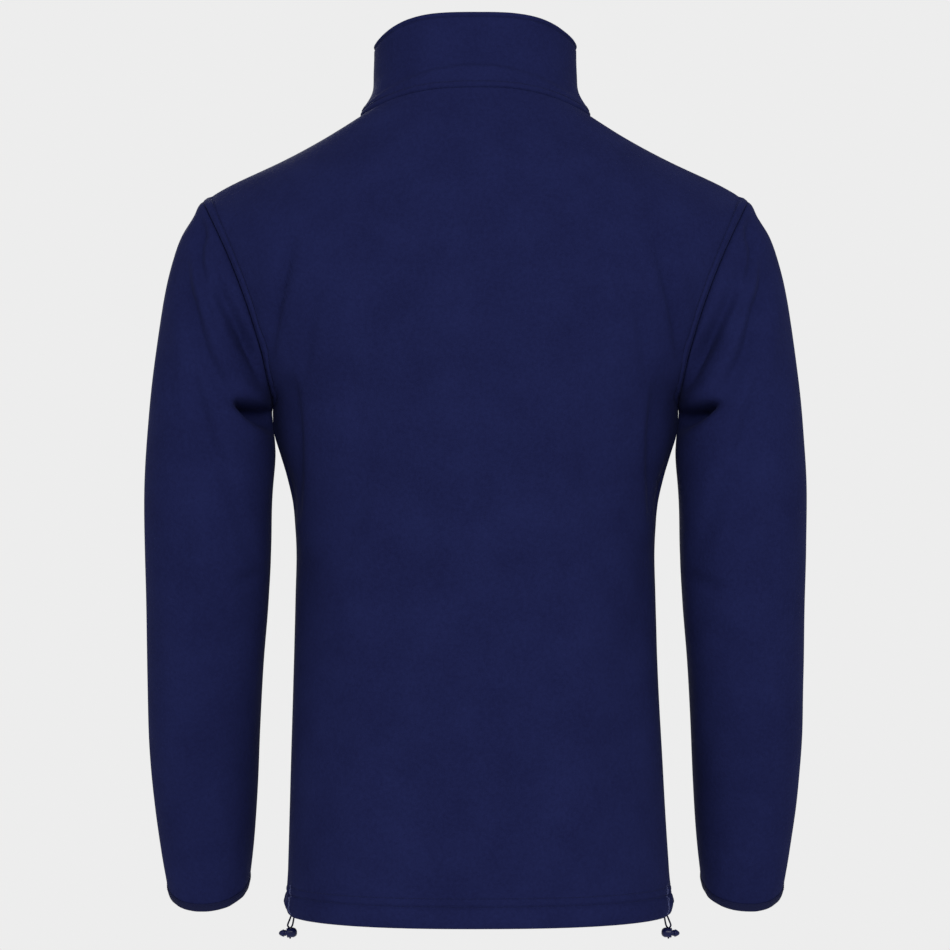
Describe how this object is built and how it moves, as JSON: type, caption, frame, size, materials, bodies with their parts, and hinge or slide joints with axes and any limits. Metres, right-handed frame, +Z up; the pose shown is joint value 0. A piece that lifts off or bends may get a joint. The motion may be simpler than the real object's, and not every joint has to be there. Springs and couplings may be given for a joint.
{
  "type": "fleece zip jacket",
  "caption": "Worn-form fleece jacket with stand collar, full front zip, set-in sleeves, bound cuffs and a drawcord hem with cord locks.",
  "frame": {"origin": "middle of the neck hole, level with the points where the shoulder seams meet the collar", "axes": "+Z up, -Y out of the zip, +X to the wearer's left"},
  "size_m": [0.561, 0.2397, 0.7818],
  "materials": {
    "fleece": "navy anti-pill fleece, brushed, matt",
    "binding": "navy elastic binding",
    "zip_tape": "navy woven tape",
    "zip_teeth": "navy moulded teeth",
    "zip_metal": "dark painted metal",
    "elastic_cord": "navy braided elastic cord",
    "lock_plastic": "navy moulded plastic"
  },
  "bodies": {
    "root": {"back": "fleece", "front_left": "fleece", "front_right": "fleece", "sleeve_left": "fleece", "sleeve_right": "fleece", "collar": "fleece", "cuff_left": "binding", "cuff_right": "binding", "zip_tape_left": "zip_tape", "zip_tape_right": "zip_tape", "zip_teeth_left": "zip_teeth", "zip_teeth_right": "zip_teeth", "zip_box": "zip_teeth", "zip_slider": "zip_metal", "drawcord_left": "elastic_cord", "drawcord_right": "elastic_cord", "lock_left": "lock_plastic", "lock_right": "lock_plastic"},
    "pull_tab": {"pull_tab": "zip_metal"},
    "button_left": {"button_left": "lock_plastic"},
    "button_right": {"button_right": "lock_plastic"}
  },
  "joints": [
    {"name": "pull_tab_swing", "type": "hinge", "parent": "root", "child": "pull_tab", "pos_m": [0, -0.09152, -0.00261], "axis": [-1, 0, 0], "range_deg": [0, 150]},
    {"name": "button_left_press", "type": "slide", "parent": "root", "child": "button_left", "axis": [-0.9976, 0, 0.0698], "range_m": [0, 0.0022], "stiffness_N_per_m": 300},
    {"name": "button_right_press", "type": "slide", "parent": "root", "child": "button_right", "axis": [0.9976, 0, 0.0698], "range_m": [0, 0.0022], "stiffness_N_per_m": 300}
  ]
}
